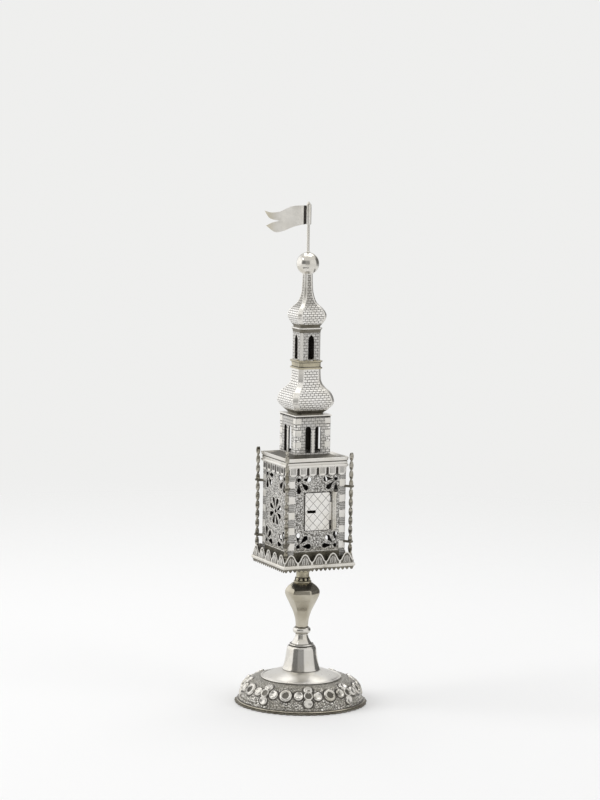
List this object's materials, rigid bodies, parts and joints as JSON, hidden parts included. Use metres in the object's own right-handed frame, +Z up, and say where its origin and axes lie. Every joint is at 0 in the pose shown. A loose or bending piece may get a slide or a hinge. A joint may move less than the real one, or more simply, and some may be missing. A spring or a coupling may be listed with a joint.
{
  "type": "spice tower",
  "caption": "Tall silver spice tower: round domed foot, faceted stem, pierced square box with a hinged door, windowed lanterns, onion domes and a turning pennant.",
  "frame": {"origin": "middle of the foot's underside, on the table", "axes": "+Z up along the tower, -Y out of the wall with the door, +X to the right when facing the door"},
  "size_m": [0.0792, 0.0792, 0.2985],
  "materials": {
    "silver_bright": "polished old silver",
    "silver_sheet": "satin silver sheet",
    "silver_engraved": "engraved silver sheet with dark patina in the cuts",
    "silver_dark": "matted silver with dark patina",
    "silver_wire": "drawn silver wire",
    "silver_gilt": "silver tinted by solder",
    "silver_leaf": "pale satin silver"
  },
  "bodies": {
    "tower": {"foot_rim": "silver_wire", "foot_dome": "silver_dark", "foot_florets": "silver_bright", "foot_disc": "silver_bright", "foot_bell": "silver_bright", "stem_socket": "silver_bright", "stem_ring": "silver_bright", "stem_knop": "silver_bright", "stem_collar": "silver_gilt", "base_plate": "silver_sheet", "column_ties": "silver_wire", "hinge_strap": "silver_wire", "hinge_pin": "silver_wire", "roof_plate": "silver_sheet", "lower_lantern": "silver_engraved", "lower_cap": "silver_sheet", "big_onion": "silver_engraved", "upper_gallery": "silver_gilt", "upper_lantern": "silver_engraved", "upper_cornice": "silver_sheet", "small_onion": "silver_engraved", "finial_ball": "silver_bright", "flag_pole": "silver_wire", "base_wire_front": "silver_wire", "base_wire_right": "silver_wire", "base_wire_back": "silver_wire", "base_wire_left": "silver_wire", "cresting_front": "silver_engraved", "cresting_right": "silver_engraved", "cresting_back": "silver_engraved", "cresting_left": "silver_engraved", "fringe_front": "silver_wire", "fringe_right": "silver_wire", "fringe_back": "silver_wire", "fringe_left": "silver_wire", "frieze_front": "silver_engraved", "frieze_right": "silver_engraved", "frieze_back": "silver_engraved", "frieze_left": "silver_engraved", "frieze_bead_front": "silver_wire", "frieze_bead_right": "silver_wire", "frieze_bead_back": "silver_wire", "frieze_bead_left": "silver_wire", "parapet_front": "silver_sheet", "parapet_right": "silver_sheet", "parapet_back": "silver_sheet", "parapet_left": "silver_sheet", "wall_front": "silver_engraved", "wall_right": "silver_engraved", "wall_back": "silver_engraved", "wall_left": "silver_engraved", "column_front_right": "silver_wire", "column_back_right": "silver_wire", "column_back_left": "silver_wire", "column_front_left": "silver_wire"},
    "door": {"door_leaf": "silver_sheet"},
    "flag": {"flag_sleeve": "silver_sheet", "flag_leaf": "silver_leaf"}
  },
  "joints": [
    {"name": "door_hinge", "type": "hinge", "parent": "tower", "child": "door", "pos_m": [0.01, -0.0194, 0.1174], "axis": [0, 0, 1], "range_deg": [0, 160]},
    {"name": "flag_spin", "type": "hinge", "parent": "tower", "child": "flag", "pos_m": [0, 0, 0.28548], "axis": [0, 0, 1], "continuous": true}
  ]
}
